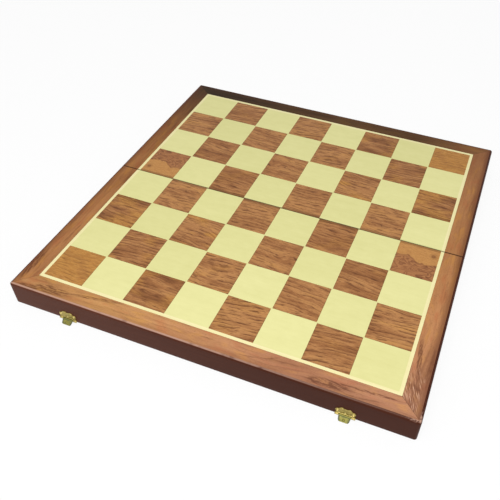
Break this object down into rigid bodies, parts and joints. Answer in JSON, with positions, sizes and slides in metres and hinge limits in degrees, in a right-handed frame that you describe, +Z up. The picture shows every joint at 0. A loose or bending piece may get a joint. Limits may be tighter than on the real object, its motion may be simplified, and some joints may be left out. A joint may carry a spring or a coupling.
{
  "type": "folding chess box",
  "caption": "Folding wooden chess box opened flat as a board, with felt-lined halves, butt hinges under the seam and scrolled brass hasps.",
  "frame": {"origin": "under the middle of the seam, on the surface that the hinge barrels rest on", "axes": "+X along the seam to the right, +Y from the lid half with the hasps towards the base half, +Z up out of the playing surface"},
  "size_m": [0.3928, 0.4022, 0.0279],
  "materials": {
    "dark_stained_wood": "dark red-brown stain under satin lacquer",
    "panel_board": "plain thin plywood, covered on both faces",
    "light_veneer": "pale yellow wood under satin lacquer",
    "light_stringing": "pale wood line under satin lacquer",
    "brown_veneer": "figured brown wood, grain along the seam, satin lacquer",
    "border_veneer": "orange-brown wood, grain along each side, satin lacquer",
    "lining_felt": "short dark green felt",
    "stamped_brass": "stamped sheet brass, slightly dull",
    "brass_fasteners": "turned brass"
  },
  "bodies": {
    "lid": {"lid_panel": "panel_board", "lid_latch_rail": "dark_stained_wood", "lid_hinge_rail": "dark_stained_wood", "lid_left_rail": "dark_stained_wood", "lid_right_rail": "dark_stained_wood", "lid_light_field": "light_veneer", "lid_brown_squares": "brown_veneer", "lid_stringing": "light_stringing", "lid_latch_border": "border_veneer", "lid_left_border": "border_veneer", "lid_right_border": "border_veneer", "lid_floor_felt": "lining_felt", "lid_wall_felt": "lining_felt", "left_hinge_lid_leaf": "stamped_brass", "right_hinge_lid_leaf": "stamped_brass", "left_hinge_pin": "brass_fasteners", "right_hinge_pin": "brass_fasteners", "hinge_lid_screws": "brass_fasteners", "left_latch_plate": "stamped_brass", "right_latch_plate": "stamped_brass", "left_hasp_pin": "brass_fasteners", "right_hasp_pin": "brass_fasteners", "latch_nails": "brass_fasteners"},
    "base": {"base_panel": "panel_board", "base_catch_rail": "dark_stained_wood", "base_hinge_rail": "dark_stained_wood", "base_left_rail": "dark_stained_wood", "base_right_rail": "dark_stained_wood", "base_light_field": "light_veneer", "base_brown_squares": "brown_veneer", "base_stringing": "light_stringing", "base_catch_border": "border_veneer", "base_left_border": "border_veneer", "base_right_border": "border_veneer", "base_floor_felt": "lining_felt", "base_wall_felt": "lining_felt", "left_hinge_base_leaf": "stamped_brass", "right_hinge_base_leaf": "stamped_brass", "hinge_base_screws": "brass_fasteners", "left_catch_plate": "stamped_brass", "right_catch_plate": "stamped_brass", "catch_nails": "brass_fasteners"},
    "left_hasp": {"left_hasp": "stamped_brass"},
    "right_hasp": {"right_hasp": "stamped_brass"}
  },
  "joints": [
    {"name": "base_fold", "type": "hinge", "parent": "lid", "child": "base", "pos_m": [0, 0, 0.00125], "axis": [1, 0, 0], "range_deg": [-180, 0]},
    {"name": "left_hasp_turn", "type": "hinge", "parent": "lid", "child": "left_hasp", "pos_m": [-0.136, -0.1982, 0.00295], "axis": [1, 0, 0], "range_deg": [-59, 54.43]},
    {"name": "right_hasp_turn", "type": "hinge", "parent": "lid", "child": "right_hasp", "pos_m": [0.136, -0.1982, 0.00295], "axis": [1, 0, 0], "range_deg": [-59, 54.43]}
  ]
}
